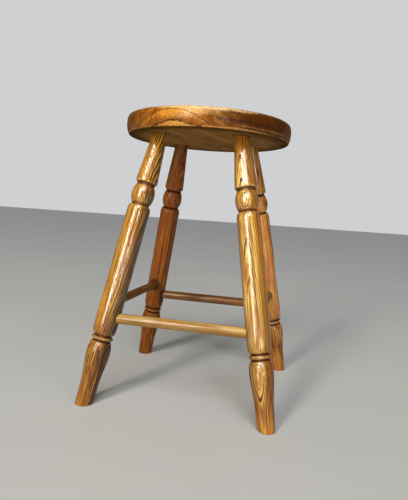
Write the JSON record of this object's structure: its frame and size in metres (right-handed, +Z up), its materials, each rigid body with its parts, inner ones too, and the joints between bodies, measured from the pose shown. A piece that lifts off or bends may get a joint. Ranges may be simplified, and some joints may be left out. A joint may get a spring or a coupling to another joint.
{
  "type": "round-seated turned-leg stool",
  "caption": "Backless wooden stool: thick round bullnose seat on splayed turned legs with ball and ring turnings, tied by plain round stretchers near the feet.",
  "frame": {"origin": "on the floor, under the middle of the seat", "axes": "+Z up; the front of the stool faces -Y, and +X is to the right when the front is looked at"},
  "size_m": [0.3504, 0.3504, 0.506],
  "materials": {
    "seat_wood": "amber-brown stained ring-porous hardwood under worn glossy lacquer, with dark growth rings on the rim",
    "golden_leg_wood": "golden ring-porous hardwood with bold dark grain and open pores, glossy lacquer, dark in the turned grooves",
    "red_leg_wood": "red-brown hardwood of the same kind with finer, plainer grain, glossy lacquer",
    "stretcher_wood": "smooth straight-grained tan hardwood, satin to glossy lacquer, darker beside the joints"
  },
  "bodies": {
    "root": {"seat": "seat_wood", "leg_front_left": "golden_leg_wood", "leg_front_right": "golden_leg_wood", "leg_back_left": "red_leg_wood", "leg_back_right": "red_leg_wood", "stretcher_front": "stretcher_wood", "stretcher_back": "stretcher_wood", "stretcher_left": "stretcher_wood", "stretcher_right": "stretcher_wood"}
  },
  "joints": []
}
